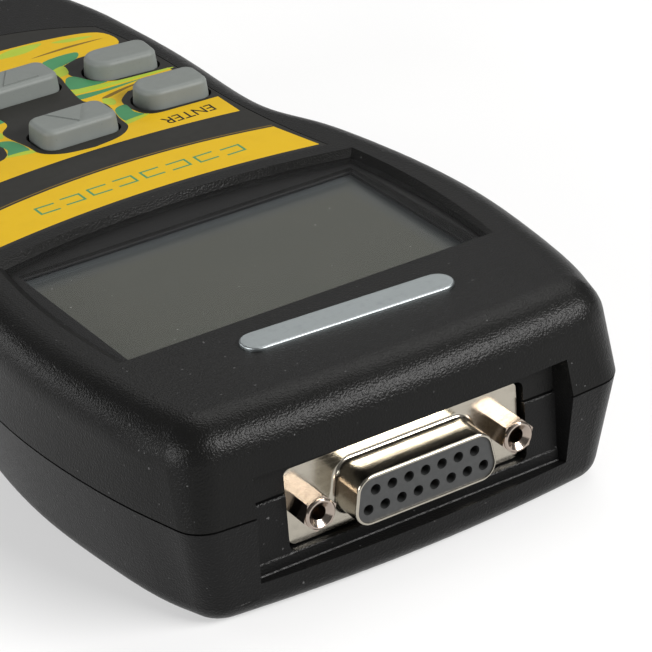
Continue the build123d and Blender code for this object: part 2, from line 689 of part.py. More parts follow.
for name, x, y, turn, width, depth in KEYS:
    with BuildPart() as key:
        # hidden column, then the flange that holds the key in, then the cap
        with BuildSketch(board_frame(x, FRONT + y, KEY_BOTTOM_Z, turn)):
            add(key_outline(width, depth, x, -COLUMN_TRIM))
        extrude(amount=KEY_FLANGE_BOTTOM_Z - KEY_BOTTOM_Z)
        with BuildSketch(board_frame(x, FRONT + y, KEY_FLANGE_BOTTOM_Z, turn)):
            add(key_outline(width, depth, x, FLANGE_GROW))
        extrude(amount=KEY_FLANGE_TOP_Z - KEY_FLANGE_BOTTOM_Z)
        with BuildSketch(board_frame(x, FRONT + y, KEY_FLANGE_TOP_Z, turn)):
            add(key_outline(width, depth, x, 0))
        extrude(amount=DECK_Z - KEY_FLANGE_TOP_Z)
        with BuildSketch(board_frame(x, FRONT + y, DECK_Z, turn)):
            add(key_outline(width, depth, x, 0))
        with BuildSketch(board_frame(x, FRONT + y, KEY_TOP_Z, turn)):
            add(key_outline(width, depth, x, -CAP_INSET))
        loft(ruled=True)
        fillet(key.faces().sort_by(Axis.Z)[-1].edges(), 0.9)
        if x == 0:
            # raised arrow: UP points at the connector, DOWN at the handle
            tip = -ARROW_HALF_LENGTH if name == "up" else ARROW_HALF_LENGTH
            with BuildSketch(board_frame(x, FRONT + y, KEY_TOP_Z - 0.1, turn)):
                with BuildLine():
                    Polyline((0, tip), (ARROW_HALF_WIDTH, -tip), (-ARROW_HALF_WIDTH, -tip), close=True)
                make_face()
            extrude(amount=ARROW_RISE + 0.1)
    save("key_" + name, key.part)

    with BuildPart() as pill:
        with BuildSketch(Plane.XY.offset(KEY_BOTTOM_Z)):
            with Locations((x, FRONT + y)):
                Circle(2.6)
        extrude(amount=-PILL_THICKNESS)
    save("pill_" + name, pill.part)

with BuildPart() as keypad_film:
    extrude(overlay_outline(DECK_Z - 0.3, 0.0), amount=OVERLAY_THICKNESS)
    for name, x, y, turn, width, depth in KEYS:
        with BuildSketch(board_frame(x, FRONT + y, DECK_Z - 0.5, turn)):
            add(key_outline(width, depth, x, KEY_GAP + 0.1))
        extrude(amount=1.0, mode=Mode.SUBTRACT)

save("keypad_film", keypad_film.part)

with BuildPart() as badge:
    with BuildSketch(board_frame(1.1, FRONT + 20.2, DECK_Z, -2.8)):
        SlotOverall(BADGE_LENGTH, BADGE_WIDTH)
    extrude(amount=BADGE_THICKNESS)
    fillet(badge.edges().group_by(Axis.Z)[-1], 0.3)

save("badge", badge.part)

# ---------------------------------------------------------------- connector
SHEET = 0.45
INSULATOR_SETBACK = 0.25
CONTACT_MOUTH_RADIUS = 0.82
CONTACT_MOUTH_DEPTH = 2.2
CONTACT_HOLE_RADIUS = 0.74
CONTACT_RADIUS = 0.7
HOUSING_BACK = 11.4
FLANGE_BACK = FLANGE_FRONT + FLANGE_THICKNESS
JACK_PLACES = [(-JACK_SPACING / 2, 0), (JACK_SPACING / 2, 0)]


def on_sleeve(edge):
    centre = edge.center()
    return abs(centre.X) < D_WIDTH / 2 + 0.2 and abs(centre.Z - CONNECTOR_Z) < D_HEIGHT / 2 + 0.2


with BuildPart() as connector_shell:
    with BuildSketch(facing_plane(FLANGE_BACK - FRONT)):
        RectangleRounded(FLANGE_WIDTH, FLANGE_HEIGHT, 1.2)
    extrude(amount=FLANGE_THICKNESS)
    with BuildSketch(facing_plane(FLANGE_FRONT - FRONT)):
        add(d_outline(D_WIDTH, D_HEIGHT, 2.6))
    extrude(amount=FLANGE_FRONT - FRONT)
    root = connector_shell.edges().filter_by_position(Axis.Y, FLANGE_FRONT - 0.01, FLANGE_FRONT + 0.01)
    fillet(root.filter_by(on_sleeve), 0.8)
    rim = connector_shell.edges().filter_by_position(Axis.Y, FRONT - 0.01, FRONT + 0.01)
    fillet(rim, 0.4)
    with BuildSketch(facing_plane(FLANGE_BACK - FRONT)):
        add(d_outline(D_WIDTH - 2 * SHEET, D_HEIGHT - 2 * SHEET, 2.6 - SHEET))
        with Locations(*JACK_PLACES):
            Circle(1.55)
    extrude(amount=10.0, mode=Mode.SUBTRACT)

save("connector_shell", connector_shell.part)

with BuildPart() as connector_insulator:
    with BuildSketch(facing_plane(FLANGE_BACK - FRONT)):
        add(d_outline(D_WIDTH - 2 * SHEET, D_HEIGHT - 2 * SHEET, 2.6 - SHEET))
    extrude(amount=FLANGE_BACK - FRONT - INSULATOR_SETBACK)
    with BuildSketch(facing_plane(HOUSING_BACK)):
        Rectangle(26.4, 9.6)
    extrude(amount=HOUSING_BACK - (FLANGE_BACK - FRONT))
    with BuildSketch(facing_plane(HOUSING_BACK)):
        with Locations(*CONTACT_PLACES):
            Circle(CONTACT_HOLE_RADIUS)
    extrude(amount=HOUSING_BACK, mode=Mode.SUBTRACT)
    with BuildSketch(facing_plane(CONTACT_MOUTH_DEPTH)):
        with Locations(*CONTACT_PLACES):
            Circle(CONTACT_MOUTH_RADIUS)
    extrude(amount=CONTACT_MOUTH_DEPTH, mode=Mode.SUBTRACT)

save("connector_insulator", connector_insulator.part)

with BuildPart() as connector_contacts:
    for (x, z), setback in zip(CONTACT_PLACES, TAIL_SETBACKS):
        # socket barrel
        with BuildSketch(facing_plane(HOUSING_BACK)):
            with Locations((x, z)):
                Circle(CONTACT_RADIUS)
        extrude(amount=HOUSING_BACK - CONTACT_MOUTH_DEPTH)
        with BuildSketch(facing_plane(7.0)):
            with Locations((x, z)):
                Circle(0.5)
        extrude(amount=7.0, mode=Mode.SUBTRACT)
        # tail: back, then up through the board
        with BuildSketch(facing_plane(setback + 0.3)):
            with Locations((x, z)):
                Rectangle(0.6, 0.6)
        extrude(amount=setback + 0.3 - HOUSING_BACK)
        with BuildSketch(Plane.XY.offset(CONNECTOR_Z + z - 0.3)):
            with Locations((x, FRONT + setback)):
                Rectangle(0.6, 0.6)
        extrude(amount=BOARD_TOP_Z + 0.9 - (CONNECTOR_Z + z - 0.3))

save("connector_contacts", connector_contacts.part)

BRACKET_SHEET = 0.5
BRACKET_WIDTH = 5.0
BRACKET_BACK = FRONT + 13.4

with BuildPart() as connector_brackets:
    for side in (-1, 1):
        with BuildSketch(facing_plane(FLANGE_BACK - FRONT + BRACKET_SHEET)):
            with Locations((side * JACK_SPACING / 2, (BOARD_BOTTOM_Z - CONNECTOR_Z - 4.0) / 2)):
                Rectangle(BRACKET_WIDTH, BOARD_BOTTOM_Z - CONNECTOR_Z + 4.0)
        extrude(amount=BRACKET_SHEET)
        with BuildSketch(Plane.XY.offset(BOARD_BOTTOM_Z)):
            with Locations((side * JACK_SPACING / 2, (FLANGE_BACK + BRACKET_BACK) / 2)):
                Rectangle(BRACKET_WIDTH, BRACKET_BACK - FLANGE_BACK)
        extrude(amount=-BRACKET_SHEET)
        # post soldered into the board
        with BuildSketch(Plane.XY.offset(BOARD_BOTTOM_Z - BRACKET_SHEET)):
            with Locations((side * JACK_SPACING / 2, FRONT + 11.0)):
                Circle(1.2)
        extrude(amount=BOARD_THICKNESS + BRACKET_SHEET + 0.6)
    with BuildSketch(facing_plane(FLANGE_BACK - FRONT + BRACKET_SHEET)):
        with Locations(*JACK_PLACES):
            Circle(1.55)
    extrude(amount=BRACKET_SHEET, mode=Mode.SUBTRACT)

save("connector_brackets", connector_brackets.part)

JACK_FLATS = 4.76
JACK_RIM = 0.35
JACK_TURN = 13  # degrees
JACK_MOUTH_RADIUS = 1.95
JACK_MOUTH_DEPTH = 0.7
NUT_FLATS = 4.9
NUT_THICKNESS = 2.2
STUD_LENGTH = 4.2
JACK_BORE_RADIUS = 1.13
JACK_BORE_DEPTH = 6.0

with BuildPart() as jack_sockets:
    with BuildSketch(facing_plane(FLANGE_FRONT - FRONT)):
        with Locations(*JACK_PLACES):
            RegularPolygon(JACK_FLATS / 2, 6, major_radius=False, rotation=JACK_TURN)
    extrude(amount=FLANGE_FRONT - JACK_FACE - JACK_RIM)
    with BuildSketch(facing_plane(JACK_FACE + JACK_RIM - FRONT)):
        with Locations(*JACK_PLACES):
            Circle(JACK_FLATS / 2)
    extrude(amount=JACK_RIM)
    chamfer(jack_sockets.edges().group_by(Axis.Y)[0], 0.2)
    with BuildSketch(facing_plane(FLANGE_FRONT - FRONT)):
        with Locations(*JACK_PLACES):
            Circle(1.4)
    extrude(amount=-STUD_LENGTH)
    with BuildSketch(facing_plane(JACK_FACE - FRONT)):
        with Locations(*JACK_PLACES):
            Circle(JACK_BORE_RADIUS)
    extrude(amount=-JACK_BORE_DEPTH, mode=Mode.SUBTRACT)
    # countersunk mouths
    for x, z in JACK_PLACES:
        with BuildSketch(facing_plane(JACK_FACE - FRONT)):
            with Locations((x, z)):
                Circle(JACK_MOUTH_RADIUS)
        with BuildSketch(facing_plane(JACK_FACE - FRONT + JACK_MOUTH_DEPTH)):
            with Locations((x, z)):
                Circle(JACK_BORE_RADIUS)
        loft(ruled=True, mode=Mode.SUBTRACT)

save("jack_sockets", jack_sockets.part)

with BuildPart() as jack_nuts:
    with BuildSketch(facing_plane(FLANGE_BACK - FRONT + BRACKET_SHEET)):
        with Locations(*JACK_PLACES):
            RegularPolygon(NUT_FLATS / 2, 6, major_radius=False, rotation=30)
            Circle(1.42, mode=Mode.SUBTRACT)
    extrude(amount=-NUT_THICKNESS)

save("jack_nuts", jack_nuts.part)


# ---------------------------------------------------------------- screws
def cross_head_screw(head_radius, head_height, shank_radius, length, slot):
    """Pan-head screw driven upwards, seat of the head at the origin, head below it."""
    with BuildPart() as screw:
        with BuildSketch():
            Circle(head_radius)
        extrude(amount=-head_height)
        fillet(screw.edges().group_by(Axis.Z)[0], head_height * 0.4)
        with BuildSketch():
            Circle(shank_radius)
        extrude(amount=length)
        chamfer(screw.edges().group_by(Axis.Z)[-1], shank_radius * 0.4)
        with BuildSketch(Plane.XY.offset(-head_height)):
            Rectangle(slot, slot * 4)
            Rectangle(slot * 4, slot)
        extrude(amount=head_height * 0.6, mode=Mode.SUBTRACT)
    return screw.part


with BuildPart() as case_screws:
    with Locations(*[(x, y, HEAD_SEAT_Z) for x, y in CASE_SCREWS]):
        add(cross_head_screw(CASE_HEAD_RADIUS, 2.1, 1.25, 17.5, 0.8))

save("case_screws", case_screws.part)

with BuildPart() as board_screws:
    with Locations(*[(x, y, BOARD_BOTTOM_Z) for x, y in BOARD_SCREWS]):
        add(cross_head_screw(2.1, 1.5, 0.95, 5.8, 0.6))

save("board_screws", board_screws.part)
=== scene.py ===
"""Looks for the code reader: finishes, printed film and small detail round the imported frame.

Lengths in the helpers below are millimetres in the row frame, turned to metres where Blender needs them.
"""
import math

import bmesh
import bpy
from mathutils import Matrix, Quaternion, Vector
from mathutils.geometry import delaunay_2d_cdt


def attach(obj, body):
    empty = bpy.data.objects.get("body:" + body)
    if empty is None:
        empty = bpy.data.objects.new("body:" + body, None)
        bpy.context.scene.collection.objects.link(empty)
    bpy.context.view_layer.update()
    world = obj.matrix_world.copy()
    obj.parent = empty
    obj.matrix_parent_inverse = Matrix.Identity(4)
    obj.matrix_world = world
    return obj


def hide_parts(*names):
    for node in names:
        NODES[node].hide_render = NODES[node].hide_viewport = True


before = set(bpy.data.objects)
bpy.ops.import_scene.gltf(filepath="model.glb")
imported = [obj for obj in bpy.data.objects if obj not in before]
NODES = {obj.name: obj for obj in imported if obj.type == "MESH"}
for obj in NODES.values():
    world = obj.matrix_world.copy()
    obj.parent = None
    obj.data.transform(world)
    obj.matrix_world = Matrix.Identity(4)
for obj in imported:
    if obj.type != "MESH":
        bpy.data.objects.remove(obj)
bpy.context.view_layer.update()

MM = 0.001


# ---------------------------------------------------------------- finishes
class Finish:
    """One material: a Principled shader and the nodes that feed it, in object coordinates."""

    def __init__(self, name, colour, roughness, metallic=0.0, **sockets):
        self.material = bpy.data.materials.new(name)
        self.material.use_nodes = True
        self.tree = self.material.node_tree
        self.shader = self.tree.nodes["Principled BSDF"]
        self.place = self.node("TexCoord").outputs["Object"]
        self.normal = None
        self.colour = colour
        self.shader.inputs["Base Color"].default_value = (*colour, 1.0)
        self.shader.inputs["Roughness"].default_value = roughness
        self.shader.inputs["Metallic"].default_value = metallic
        for socket, value in sockets.items():
            self.shader.inputs[socket.replace("_", " ")].default_value = value

    def node(self, kind, **inputs):
        made = self.tree.nodes.new("ShaderNode" + kind)
        for socket, value in inputs.items():
            socket = socket.replace("_", " ")
            if isinstance(value, bpy.types.NodeSocket):
                self.tree.links.new(value, made.inputs[socket])
            else:
                made.inputs[socket].default_value = value
        return made

    def stretched(self, x, y, z):
        """Object coordinates with a scale on each axis."""
        return self.node("Mapping", Vector=self.place, Scale=(x, y, z)).outputs["Vector"]

    def noise(self, size, detail=2.0, roughness=0.5, distortion=0.0, place=None):
        """Noise with features about size millimetres across."""
        return self.node(
            "TexNoise",
            Vector=place or self.place,
            Scale=1.0 / (size * MM),
            Detail=detail,
            Roughness=roughness,
            Distortion=distortion,
        ).outputs["Fac"]

    def band(self, value, low, high, to_low=0.0, to_high=1.0):
        """Value stretched from low..high to to_low..to_high, clamped."""
        made = self.node("MapRange", Value=value)
        made.inputs["From Min"].default_value = low
        made.inputs["From Max"].default_value = high
        made.inputs["To Min"].default_value = to_low
        made.inputs["To Max"].default_value = to_high
        return made.outputs["Result"]

    def math(self, operation, a, b):
        made = self.tree.nodes.new("ShaderNodeMath")
        made.operation = operation
        for socket, value in zip(made.inputs, (a, b)):
            if isinstance(value, bpy.types.NodeSocket):
                self.tree.links.new(value, socket)
            else:
                socket.default_value = value
        return made.outputs[0]

    def tint(self, factor, other):
        """Mixes another colour over the present one where factor is high."""
        mix = self.tree.nodes.new("ShaderNodeMix")
        mix.data_type = "RGBA"
        self.tree.links.new(factor, mix.inputs["Factor"])
        base = self.shader.inputs["Base Color"]
        if base.is_linked:
            self.tree.links.new(base.links[0].from_socket, mix.inputs["A"])
        else:
            mix.inputs["A"].default_value = (*self.colour, 1.0)
        mix.inputs["B"].default_value = (*other, 1.0)
        self.tree.links.new(mix.outputs["Result"], base)

    def gloss(self, factor, low, high):
        """Roughness running from low to high with factor."""
        self.tree.links.new(self.band(factor, 0.0, 1.0, low, high), self.shader.inputs["Roughness"])

    def bump(self, height, depth, strength=1.0):
        """Adds relief of about depth millimetres."""
        made = self.node("Bump", Height=height, Strength=strength, Distance=depth * MM)
        if self.normal:
            self.tree.links.new(self.normal, made.inputs["Normal"])
        self.normal = made.outputs["Normal"]
        self.tree.links.new(self.normal, self.shader.inputs["Normal"])


def case_finish(name, colour, depth=0.085):
    """Black ABS with a fine spark-eroded grain."""
    made = Finish(name, colour, 0.4, Specular_IOR_Level=0.12)
    made.tint(made.band(made.noise(14.0, 4.0), 0.35, 0.75, 0.0, 0.5), tuple(c * 1.5 for c in colour))
    made.tint(made.band(made.noise(0.6, 0.0), 0.84, 0.88, 0.0, 0.6), (0.12, 0.12, 0.12))
    made.gloss(made.noise(1.1, 3.0), 0.29, 0.38)
    made.bump(made.noise(0.3, 1.0, 0.5), depth)
    return made.material


def rubber_finish(name, colour):
    """Moulded silicone or soft plastic with a matt skin and a little dust."""
    made = Finish(name, colour, 0.55, Specular_IOR_Level=0.4)
    made.tint(made.band(made.noise(2.4, 4.0), 0.5, 0.8, 0.0, 0.35), tuple(c * 1.18 for c in colour))
    made.tint(made.band(made.noise(0.35, 1.0), 0.68, 0.78, 0.0, 0.4), tuple(c * 0.6 for c in colour))
    made.gloss(made.noise(1.6, 3.0), 0.46, 0.62)
    made.bump(made.noise(0.12, 2.0), 0.006)
    return made.material


def metal_finish(name, colour, roughness, streak=(1, 1, 1), size=0.3, depth=0.006):
    """Plated or bare metal; streak stretches its drawing marks along one axis."""
    made = Finish(name, colour, roughness, 1.0)
    marks = made.noise(size, 3.0, 0.6, place=made.stretched(*streak))
    made.tint(made.band(made.noise(1.3, 4.0), 0.52, 0.8, 0.0, 0.5), tuple(c * 0.72 for c in colour))
    made.gloss(marks, max(roughness - 0.12, 0.06), roughness + 0.14)
    made.bump(marks, depth)
    return made.material


def plastic_finish(name, colour, roughness=0.45, size=0.4, depth=0.008):
    """Plain moulded plastic with slight mottling."""
    made = Finish(name, colour, roughness)
    paler = tuple(c * 1.5 + 0.004 for c in colour)
    made.tint(made.band(made.noise(size * 3, 4.0), 0.45, 0.8, 0.0, 0.5), paler)
    made.gloss(made.noise(size * 2, 2.0), roughness - 0.08, roughness + 0.08)
    made.bump(made.noise(size, 2.0), depth)
    return made.material


def board_finish():
    """Green solder mask over faint copper tracks."""
    made = Finish("board_green", (0.012, 0.10, 0.035), 0.3, Coat_Weight=0.4)
    tracks = made.node("TexBrick", Vector=made.place, Scale=180.0)
    tracks.inputs["Mortar Size"].default_value = 0.035
    made.tint(made.band(tracks.outputs["Fac"], 0.0, 1.0, 0.0, 0.8), (0.02, 0.17, 0.055))
    made.bump(made.noise(0.8, 3.0), 0.01)
    return made.material


def ink_finish(name, colour):
    """Ink on the back of a smooth film."""
    made = Finish(name, colour, 0.4, Specular_IOR_Level=0.12)
    made.tint(made.band(made.noise(3.0, 4.0), 0.45, 0.75, 0.0, 0.35), tuple(c * 0.88 for c in colour))
    made.gloss(made.noise(2.0, 3.0), 0.34, 0.46)
    made.bump(made.noise(0.6, 2.0), 0.004)
    return made.material


def glass_finish():
    """Liquid-crystal cell: grey-green, with painted shade near its far and right edges, bluer and darker
    where the window walls shade it.
    """
    made = Finish("lcd_glass", (0.076, 0.079, 0.064), 0.2, Specular_IOR_Level=0.35)
    made.tint(made.band(made.noise(9.0, 3.0), 0.45, 0.75, 0.0, 0.4), (0.070, 0.075, 0.062))
    place = made.node("SeparateXYZ", Vector=made.place).outputs
    # painted shade: the cell's colour is darkened and blued towards its right and far edges, standing in
    # for the window walls' shadow
    right = made.band(place["X"], 0.0255, 0.0295)
    far = made.band(place["Y"], -0.0262, -0.0222)
    made.tint(made.math("MAXIMUM", right, far), (0.065, 0.074, 0.078))
    for line in (-0.0223, -0.0217):
        near_line = made.math("ABSOLUTE", made.math("SUBTRACT", place["Y"], line), 0.0)
        made.tint(made.band(near_line, 0.00006, 0.00016, 0.45, 0.0), (0.13, 0.14, 0.14))
    made.tint(made.band(made.noise(0.6, 0.0), 0.84, 0.87, 0.0, 0.8), (0.30, 0.30, 0.28))
    made.gloss(made.noise(5.0, 3.0), 0.16, 0.26)
    return made.material


def window_finish():
    """Clear acrylic with faint handling haze."""
    made = Finish("window_clear", (0.02, 0.02, 0.02), 0.1, Alpha=0.12, Specular_IOR_Level=0.2)
    made.tint(made.band(made.noise(7.0, 4.0), 0.5, 0.8, 0.0, 0.5), (0.05, 0.05, 0.05))
    made.tint(made.band(made.noise(0.5, 0.0), 0.85, 0.88, 0.0, 0.7), (0.3, 0.3, 0.3))
    made.gloss(made.noise(4.0, 3.0), 0.07, 0.16)
    return made.material


def label_finish():
    """Pale label ruled into empty boxes."""
    made = Finish("label_grey", (0.42, 0.43, 0.43), 0.4)
    boxes = made.node("TexBrick", Vector=made.place, Scale=60.0)
    boxes.offset = 0.0
    boxes.inputs["Mortar Size"].default_value = 0.008
    made.tint(boxes.outputs["Fac"], (0.03, 0.03, 0.03))
    made.tint(made.band(made.noise(3.0, 4.0), 0.5, 0.8, 0.0, 0.4), (0.35, 0.36, 0.36))
    made.gloss(made.noise(1.5, 3.0), 0.32, 0.5)
    made.bump(made.noise(0.5, 2.0), 0.004)
    return made.material


CASE_BLACK = case_finish("case_black", (0.0048, 0.0048, 0.0046))
# painted shade: the lower shell is the same grained ABS as the top shell, given a darker base colour
CASE_LOWER_SHADED = case_finish("case_black_lower_shaded", (0.0042, 0.0042, 0.0042))
KEY_GREY = rubber_finish("key_grey", (0.140, 0.153, 0.144))
MAT_GREY = rubber_finish("mat_grey", (0.16, 0.17, 0.18))
NICKEL = metal_finish("nickel_drawn", (0.42, 0.39, 0.33), 0.19, streak=(0.06, 1, 1), depth=0.01)
NICKEL_HEX = metal_finish("nickel_turned", (0.38, 0.32, 0.275), 0.17, size=0.25)
STEEL = metal_finish("steel_zinc", (0.6, 0.62, 0.64), 0.32)
SCREW_BLACK = metal_finish("screw_black", (0.09, 0.09, 0.095), 0.38)
BADGE = metal_finish("badge_satin", (0.31, 0.338, 0.345), 0.42, streak=(0.05, 1, 1), size=0.25, depth=0.003)
BEZEL_BLACK = metal_finish("bezel_black", (0.018, 0.02, 0.022), 0.4)
LABEL = label_finish()
PRINT_BLACK = ink_finish("print_black", (0.006, 0.006, 0.006))
TIN = metal_finish("tin_plate", (0.7, 0.7, 0.68), 0.34)
# painted shade: the contacts' gold is darkened so they read dark down in the holes of the insulator
CONTACT_GOLD_SHADED = metal_finish("contact_gold_shaded", (0.35, 0.25, 0.11), 0.3, size=0.2)
CARBON = plastic_finish("carbon_pill", (0.012, 0.012, 0.013), 0.6)
CHIP_BLACK = plastic_finish("chip_black", (0.014, 0.014, 0.015), 0.55, 0.2)
INSULATOR = plastic_finish("insulator_grey", (0.024, 0.025, 0.025), 0.5, 0.25)
FOAM = plastic_finish("gasket_foam", (0.02, 0.02, 0.021), 0.8, 0.3, 0.05)
STRIP = plastic_finish("strip_rubber", (0.2, 0.19, 0.17), 0.6, 0.3)
DIFFUSER = plastic_finish("backlight_white", (0.6, 0.64, 0.55), 0.4)
SLEEVE = plastic_finish("capacitor_sleeve", (0.02, 0.025, 0.06), 0.4)
BOARD = board_finish()
LCD = glass_finish()
WINDOW = window_finish()

CAD_FINISH = {
    "top_shell": CASE_BLACK,
    "bottom_shell": CASE_LOWER_SHADED,
    "rear_label": LABEL,
    "display_window": WINDOW,
    "display_gasket": FOAM,
    "display_bezel": BEZEL_BLACK,
    "display_glass": LCD,
    "display_strips": STRIP,
    "display_backlight": DIFFUSER,
    "main_board": BOARD,
    "key_pads": CARBON,
    "microcontroller": CHIP_BLACK,
    "interface_chips": CHIP_BLACK,
    "memory_chip": CHIP_BLACK,
    "voltage_regulator": CHIP_BLACK,
    "crystal": TIN,
    "capacitors": SLEEVE,
    "chip_parts": STRIP,
    "keypad_mat": MAT_GREY,
    "keypad_film": CARBON,
    "badge": BADGE,
    "connector_shell": NICKEL,
    "connector_insulator": INSULATOR,
    "connector_contacts": CONTACT_GOLD_SHADED,
    "connector_brackets": STEEL,
    "jack_sockets": NICKEL_HEX,
    "jack_nuts": STEEL,
    "case_screws": SCREW_BLACK,
    "board_screws": STEEL,
}
for name, thing in NODES.items():
    finish = CAD_FINISH.get(name)
    if name.startswith("key_") and finish is None:
        finish = KEY_GREY
    if name.startswith("pill_"):
        finish = CARBON
    thing.data.materials.clear()
    thing.data.materials.append(finish)

# ---------------------------------------------------------------- shapes
BODY = "body"
FACE_Y = -86.0  # row-frame place of the connector face; the shapes below are measured from it
WELD = 0.002  # points of a printed outline this close together are one
FILM_TOP = 31.96
FILM_SHEET = 0.25
WINDOW_NEAR = 28.4
WINDOW_TILT = math.radians(1.0)
VIEW_NEAR, VIEW_FAR = 28.9, 64.8
VIEW_WIDTH = 59.6
BORDER_TOP = 30.75
BORDER_SHEET = 0.04


def spot(x, y, z):
    """Point given by x, distance from the connector face and height, in millimetres."""
    return Vector((x, y + FACE_Y, z)) * MM


def link(name, mesh, *materials):
    """New object that rides on the case."""
    thing = bpy.data.objects.new(name, mesh)
    bpy.context.scene.collection.objects.link(thing)
    for material in materials:
        mesh.materials.append(material)
    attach(thing, BODY)
    return thing


def smooth(points, closed=True, steps=6):
    """Curve through the points, as a list of points."""
    count = len(points)
    curve = []
    for i in range(count if closed else count - 1):
        if closed:
            around = [points[(i + k) % count] for k in (-1, 0, 1, 2)]
        else:
            around = [points[min(max(i + k, 0), count - 1)] for k in (-1, 0, 1, 2)]
        a, b, c, d = [Vector(p) for p in around]
        slope = c - a
        bend = 2 * a - 5 * b + 4 * c - d
        twist = 3 * b - a - 3 * c + d
        for step in range(steps):
            t = step / steps
            curve.append(0.5 * (2 * b + slope * t + bend * t**2 + twist * t**3))
    if not closed:
        curve.append(Vector(points[-1]))
    return curve


def arc(left, crown, right, steps=16):
    """Shallow arc from one point over a crown to another."""
    rise = crown[1] - (left[1] + right[1]) / 2
    for_x = [left[0] + (right[0] - left[0]) * i / steps for i in range(steps + 1)]
    middle, half = (left[0] + right[0]) / 2, (right[0] - left[0]) / 2
    level = [left[1] + (right[1] - left[1]) * i / steps for i in range(steps + 1)]
    return [Vector((x, y + rise * (1 - ((x - middle) / half) ** 2))) for x, y in zip(for_x, level)]


def mirrored(points):
    return [Vector((-p[0], p[1])) for p in reversed(points)]


def holds(loop, x, y):
    """Whether the loop or set of edges goes round the point."""
    inside = False
    for (ax, ay), (bx, by) in loop:
        if (ay > y) != (by > y) and x < ax + (y - ay) / (by - ay) * (bx - ax):
            inside = not inside
    return inside


def loop_edges(points):
    return [(tuple(points[i - 1]), tuple(points[i])) for i in range(len(points))]


def upper_edges(node):
    """Edges round the flat top of a CAD part, in millimetres from the connector face."""
    mesh = bmesh.new()
    mesh.from_mesh(NODES[node].data)
    bmesh.ops.remove_doubles(mesh, verts=mesh.verts[:], dist=1e-6)
    mesh.normal_update()
    top = max(v.co.z for v in mesh.verts)

    def on_top(face):
        return face.normal.z > 0.99 and abs(face.calc_center_median().z - top) < 1e-5

    edges = []
    for edge in mesh.edges:
        flat = [face for face in edge.link_faces if on_top(face)]
        if len(flat) == 1 and len(edge.link_faces) == 2:
            ends = [v.co / MM for v in edge.verts]
            edges.append(tuple((p.x, p.y - FACE_Y) for p in ends))
    mesh.free()
    return edges, top / MM


def printed_sheet(name, outline, top, thickness, prints, materials):
    """Sheet cut to the outline's edges, with each print's area in its own material."""
    coords, edges = [], []
    for loop in [outline] + [loop_edges(shape) for shape, colour in prints]:
        for a, b in loop:
            edges.append((len(coords), len(coords) + 1))
            coords += [Vector(a), Vector(b)]
    points, _, faces = delaunay_2d_cdt(coords, edges, [], 0, WELD)[:3]
    sheet = bmesh.new()
    corners = [sheet.verts.new(spot(p.x, p.y, top)) for p in points]
    areas = [(loop_edges(shape), colour) for shape, colour in prints]
    for face in faces:
        middle = sum((points[i] for i in face), Vector((0, 0))) / len(face)
        if not holds(outline, *middle):
            continue
        made = sheet.faces.new([corners[i] for i in face])
        for loop, colour in areas:
            if holds(loop, *middle):
                made.material_index = colour
    bmesh.ops.delete(sheet, geom=[v for v in sheet.verts if not v.link_faces], context="VERTS")
    sheet.normal_update()
    for face in sheet.faces:
        if face.normal.z < 0:
            face.normal_flip()
    lower = bmesh.ops.extrude_face_region(sheet, geom=sheet.faces[:], use_keep_orig=True)
    for part in lower["geom"]:
        if isinstance(part, bmesh.types.BMVert):
            part.co.z -= thickness * MM
    bmesh.ops.recalc_face_normals(sheet, faces=sheet.faces[:])
    mesh = bpy.data.meshes.new(name)
    sheet.to_mesh(mesh)
    sheet.free()
    return link(name, mesh, *materials)


# ---------------------------------------------------------------- printed film round the keys
BLACK, YELLOW, GREEN, LIME, GOLD_LINE = range(5)


def bar(x, y, width, depth):
    """Rectangle about a point."""
    w, d = width / 2, depth / 2
    return [Vector((x - w, y - d)), Vector((x + w, y - d)), Vector((x + w, y + d)), Vector((x - w, y + d))]


def band_marks():
    """Row of plain open brackets along the yellow band."""
    marks = []
    for i in range(8):
        x = 4.8 * (i - 3.5)
        y = 80.4 - 0.0035 * x * x
        side = 1 if i % 2 else -1
        marks += [
            bar(x, y - 1.2, 3.5, 0.42),
            bar(x, y + 1.2, 3.5, 0.42),
            bar(x + side * 1.55, y, 0.4, 1.98),
        ]
    return marks


